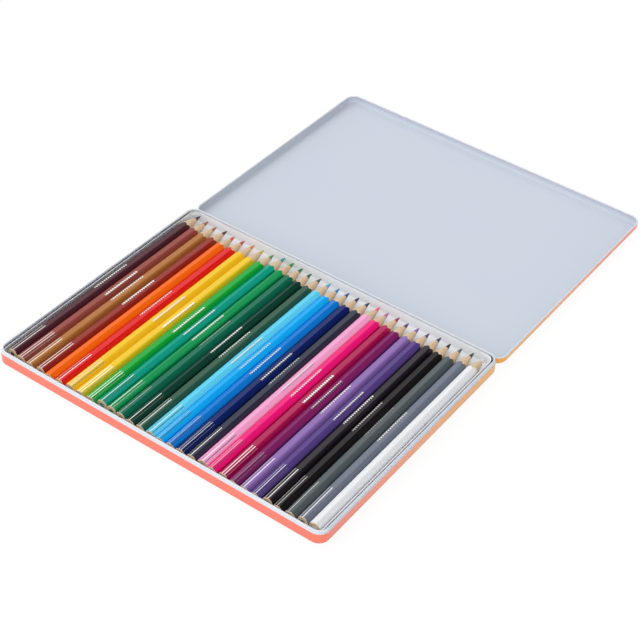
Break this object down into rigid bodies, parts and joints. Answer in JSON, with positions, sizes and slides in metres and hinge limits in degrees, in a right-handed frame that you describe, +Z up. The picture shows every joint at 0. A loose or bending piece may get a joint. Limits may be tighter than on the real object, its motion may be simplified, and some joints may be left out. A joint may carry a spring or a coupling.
{
  "type": "coloured pencil tin",
  "caption": "Flat hinged metal tin, open with its lid laid back, holding a single row of sharpened hexagonal coloured pencils in a white plastic tray.",
  "frame": {"origin": "middle of the base's flat underside", "axes": "+X along the row of pencils from the first to the last, +Y from the pencils' butts to their tips and the hinge, +Z up"},
  "size_m": [0.2356, 0.3652, 0.0095],
  "materials": {
    "printed_tin": "satin print on tinplate, coral shading to apricot, with a bare white-lacquered neck and inside",
    "lid_enamel": "satin pale blue-grey lacquer inside, printed coral to gold outside",
    "pin_steel": "drawn bright wire",
    "tray_plastic": "thin glossy white thermoformed sheet",
    "lacquer_aubergine": "glossy lacquer over light wood, bare wood at the sharpened end and the butt",
    "lacquer_brown": "glossy lacquer over light wood, bare wood at the sharpened end and the butt",
    "lacquer_ochre": "glossy lacquer over light wood, bare wood at the sharpened end and the butt",
    "lacquer_red_brown": "glossy lacquer over light wood, bare wood at the sharpened end and the butt",
    "lacquer_orange": "glossy lacquer over light wood, bare wood at the sharpened end and the butt",
    "lacquer_red": "glossy lacquer over light wood, bare wood at the sharpened end and the butt",
    "lacquer_golden_yellow": "glossy lacquer over light wood, bare wood at the sharpened end and the butt",
    "lacquer_yellow": "glossy lacquer over light wood, bare wood at the sharpened end and the butt",
    "lacquer_green": "glossy lacquer over light wood, bare wood at the sharpened end and the butt",
    "lacquer_teal": "glossy lacquer over light wood, bare wood at the sharpened end and the butt",
    "lacquer_emerald": "glossy lacquer over light wood, bare wood at the sharpened end and the butt",
    "lacquer_dark_green": "glossy lacquer over light wood, bare wood at the sharpened end and the butt",
    "lacquer_deep_green": "glossy lacquer over light wood, bare wood at the sharpened end and the butt",
    "lacquer_olive": "glossy lacquer over light wood, bare wood at the sharpened end and the butt",
    "lacquer_light_blue": "glossy lacquer over light wood, bare wood at the sharpened end and the butt",
    "lacquer_cyan": "glossy lacquer over light wood, bare wood at the sharpened end and the butt",
    "lacquer_blue": "glossy lacquer over light wood, bare wood at the sharpened end and the butt",
    "lacquer_navy": "glossy lacquer over light wood, bare wood at the sharpened end and the butt",
    "lacquer_midnight": "glossy lacquer over light wood, bare wood at the sharpened end and the butt",
    "lacquer_light_pink": "glossy lacquer over light wood, bare wood at the sharpened end and the butt",
    "lacquer_hot_pink": "glossy lacquer over light wood, bare wood at the sharpened end and the butt",
    "lacquer_crimson": "glossy lacquer over light wood, bare wood at the sharpened end and the butt",
    "lacquer_plum": "glossy lacquer over light wood, bare wood at the sharpened end and the butt",
    "lacquer_lilac": "glossy lacquer over light wood, bare wood at the sharpened end and the butt",
    "lacquer_purple": "glossy lacquer over light wood, bare wood at the sharpened end and the butt",
    "lacquer_violet": "glossy lacquer over light wood, bare wood at the sharpened end and the butt",
    "lacquer_black": "glossy lacquer over light wood, bare wood at the sharpened end and the butt",
    "lacquer_green_grey": "glossy lacquer over light wood, bare wood at the sharpened end and the butt",
    "lacquer_blue_grey": "glossy lacquer over light wood, bare wood at the sharpened end and the butt",
    "lacquer_white": "glossy lacquer over light wood, bare wood at the sharpened end and the butt"
  },
  "bodies": {
    "base": {"base_tin": "printed_tin", "pencil_tray": "tray_plastic", "hinge_pin_left": "pin_steel", "hinge_pin_right": "pin_steel"},
    "lid": {"lid_tin": "lid_enamel"},
    "pencil_01_aubergine": {"pencil_01_aubergine": "lacquer_aubergine"},
    "pencil_02_brown": {"pencil_02_brown": "lacquer_brown"},
    "pencil_03_ochre": {"pencil_03_ochre": "lacquer_ochre"},
    "pencil_04_red_brown": {"pencil_04_red_brown": "lacquer_red_brown"},
    "pencil_05_orange": {"pencil_05_orange": "lacquer_orange"},
    "pencil_06_red": {"pencil_06_red": "lacquer_red"},
    "pencil_07_golden_yellow": {"pencil_07_golden_yellow": "lacquer_golden_yellow"},
    "pencil_08_yellow": {"pencil_08_yellow": "lacquer_yellow"},
    "pencil_09_green": {"pencil_09_green": "lacquer_green"},
    "pencil_10_teal": {"pencil_10_teal": "lacquer_teal"},
    "pencil_11_emerald": {"pencil_11_emerald": "lacquer_emerald"},
    "pencil_12_dark_green": {"pencil_12_dark_green": "lacquer_dark_green"},
    "pencil_13_deep_green": {"pencil_13_deep_green": "lacquer_deep_green"},
    "pencil_14_olive": {"pencil_14_olive": "lacquer_olive"},
    "pencil_15_light_blue": {"pencil_15_light_blue": "lacquer_light_blue"},
    "pencil_16_cyan": {"pencil_16_cyan": "lacquer_cyan"},
    "pencil_17_blue": {"pencil_17_blue": "lacquer_blue"},
    "pencil_18_navy": {"pencil_18_navy": "lacquer_navy"},
    "pencil_19_midnight": {"pencil_19_midnight": "lacquer_midnight"},
    "pencil_20_light_pink": {"pencil_20_light_pink": "lacquer_light_pink"},
    "pencil_21_hot_pink": {"pencil_21_hot_pink": "lacquer_hot_pink"},
    "pencil_22_crimson": {"pencil_22_crimson": "lacquer_crimson"},
    "pencil_23_plum": {"pencil_23_plum": "lacquer_plum"},
    "pencil_24_lilac": {"pencil_24_lilac": "lacquer_lilac"},
    "pencil_25_purple": {"pencil_25_purple": "lacquer_purple"},
    "pencil_26_violet": {"pencil_26_violet": "lacquer_violet"},
    "pencil_27_black": {"pencil_27_black": "lacquer_black"},
    "pencil_28_green_grey": {"pencil_28_green_grey": "lacquer_green_grey"},
    "pencil_29_blue_grey": {"pencil_29_blue_grey": "lacquer_blue_grey"},
    "pencil_30_white": {"pencil_30_white": "lacquer_white"}
  },
  "joints": [
    {"name": "lid_hinge", "type": "hinge", "parent": "base", "child": "lid", "pos_m": [0, 0.09137, 0.00665], "axis": [-1, 0, 0], "range_deg": [-180, 0]},
    {"name": "pencil_01_aubergine_lift", "type": "slide", "parent": "base", "child": "pencil_01_aubergine", "axis": [0, 0, 1], "range_m": [0, 0.04]},
    {"name": "pencil_02_brown_lift", "type": "slide", "parent": "base", "child": "pencil_02_brown", "axis": [0, 0, 1], "range_m": [0, 0.04]},
    {"name": "pencil_03_ochre_lift", "type": "slide", "parent": "base", "child": "pencil_03_ochre", "axis": [0, 0, 1], "range_m": [0, 0.04]},
    {"name": "pencil_04_red_brown_lift", "type": "slide", "parent": "base", "child": "pencil_04_red_brown", "axis": [0, 0, 1], "range_m": [0, 0.04]},
    {"name": "pencil_05_orange_lift", "type": "slide", "parent": "base", "child": "pencil_05_orange", "axis": [0, 0, 1], "range_m": [0, 0.04]},
    {"name": "pencil_06_red_lift", "type": "slide", "parent": "base", "child": "pencil_06_red", "axis": [0, 0, 1], "range_m": [0, 0.04]},
    {"name": "pencil_07_golden_yellow_lift", "type": "slide", "parent": "base", "child": "pencil_07_golden_yellow", "axis": [0, 0, 1], "range_m": [0, 0.04]},
    {"name": "pencil_08_yellow_lift", "type": "slide", "parent": "base", "child": "pencil_08_yellow", "axis": [0, 0, 1], "range_m": [0, 0.04]},
    {"name": "pencil_09_green_lift", "type": "slide", "parent": "base", "child": "pencil_09_green", "axis": [0, 0, 1], "range_m": [0, 0.04]},
    {"name": "pencil_10_teal_lift", "type": "slide", "parent": "base", "child": "pencil_10_teal", "axis": [0, 0, 1], "range_m": [0, 0.04]},
    {"name": "pencil_11_emerald_lift", "type": "slide", "parent": "base", "child": "pencil_11_emerald", "axis": [0, 0, 1], "range_m": [0, 0.04]},
    {"name": "pencil_12_dark_green_lift", "type": "slide", "parent": "base", "child": "pencil_12_dark_green", "axis": [0, 0, 1], "range_m": [0, 0.04]},
    {"name": "pencil_13_deep_green_lift", "type": "slide", "parent": "base", "child": "pencil_13_deep_green", "axis": [0, 0, 1], "range_m": [0, 0.04]},
    {"name": "pencil_14_olive_lift", "type": "slide", "parent": "base", "child": "pencil_14_olive", "axis": [0, 0, 1], "range_m": [0, 0.04]},
    {"name": "pencil_15_light_blue_lift", "type": "slide", "parent": "base", "child": "pencil_15_light_blue", "axis": [0, 0, 1], "range_m": [0, 0.04]},
    {"name": "pencil_16_cyan_lift", "type": "slide", "parent": "base", "child": "pencil_16_cyan", "axis": [0, 0, 1], "range_m": [0, 0.04]},
    {"name": "pencil_17_blue_lift", "type": "slide", "parent": "base", "child": "pencil_17_blue", "axis": [0, 0, 1], "range_m": [0, 0.04]},
    {"name": "pencil_18_navy_lift", "type": "slide", "parent": "base", "child": "pencil_18_navy", "axis": [0, 0, 1], "range_m": [0, 0.04]},
    {"name": "pencil_19_midnight_lift", "type": "slide", "parent": "base", "child": "pencil_19_midnight", "axis": [0, 0, 1], "range_m": [0, 0.04]},
    {"name": "pencil_20_light_pink_lift", "type": "slide", "parent": "base", "child": "pencil_20_light_pink", "axis": [0, 0, 1], "range_m": [0, 0.04]},
    {"name": "pencil_21_hot_pink_lift", "type": "slide", "parent": "base", "child": "pencil_21_hot_pink", "axis": [0, 0, 1], "range_m": [0, 0.04]},
    {"name": "pencil_22_crimson_lift", "type": "slide", "parent": "base", "child": "pencil_22_crimson", "axis": [0, 0, 1], "range_m": [0, 0.04]},
    {"name": "pencil_23_plum_lift", "type": "slide", "parent": "base", "child": "pencil_23_plum", "axis": [0, 0, 1], "range_m": [0, 0.04]},
    {"name": "pencil_24_lilac_lift", "type": "slide", "parent": "base", "child": "pencil_24_lilac", "axis": [0, 0, 1], "range_m": [0, 0.04]},
    {"name": "pencil_25_purple_lift", "type": "slide", "parent": "base", "child": "pencil_25_purple", "axis": [0, 0, 1], "range_m": [0, 0.04]},
    {"name": "pencil_26_violet_lift", "type": "slide", "parent": "base", "child": "pencil_26_violet", "axis": [0, 0, 1], "range_m": [0, 0.04]},
    {"name": "pencil_27_black_lift", "type": "slide", "parent": "base", "child": "pencil_27_black", "axis": [0, 0, 1], "range_m": [0, 0.04]},
    {"name": "pencil_28_green_grey_lift", "type": "slide", "parent": "base", "child": "pencil_28_green_grey", "axis": [0, 0, 1], "range_m": [0, 0.04]},
    {"name": "pencil_29_blue_grey_lift", "type": "slide", "parent": "base", "child": "pencil_29_blue_grey", "axis": [0, 0, 1], "range_m": [0, 0.04]},
    {"name": "pencil_30_white_lift", "type": "slide", "parent": "base", "child": "pencil_30_white", "axis": [0, 0, 1], "range_m": [0, 0.04]}
  ]
}
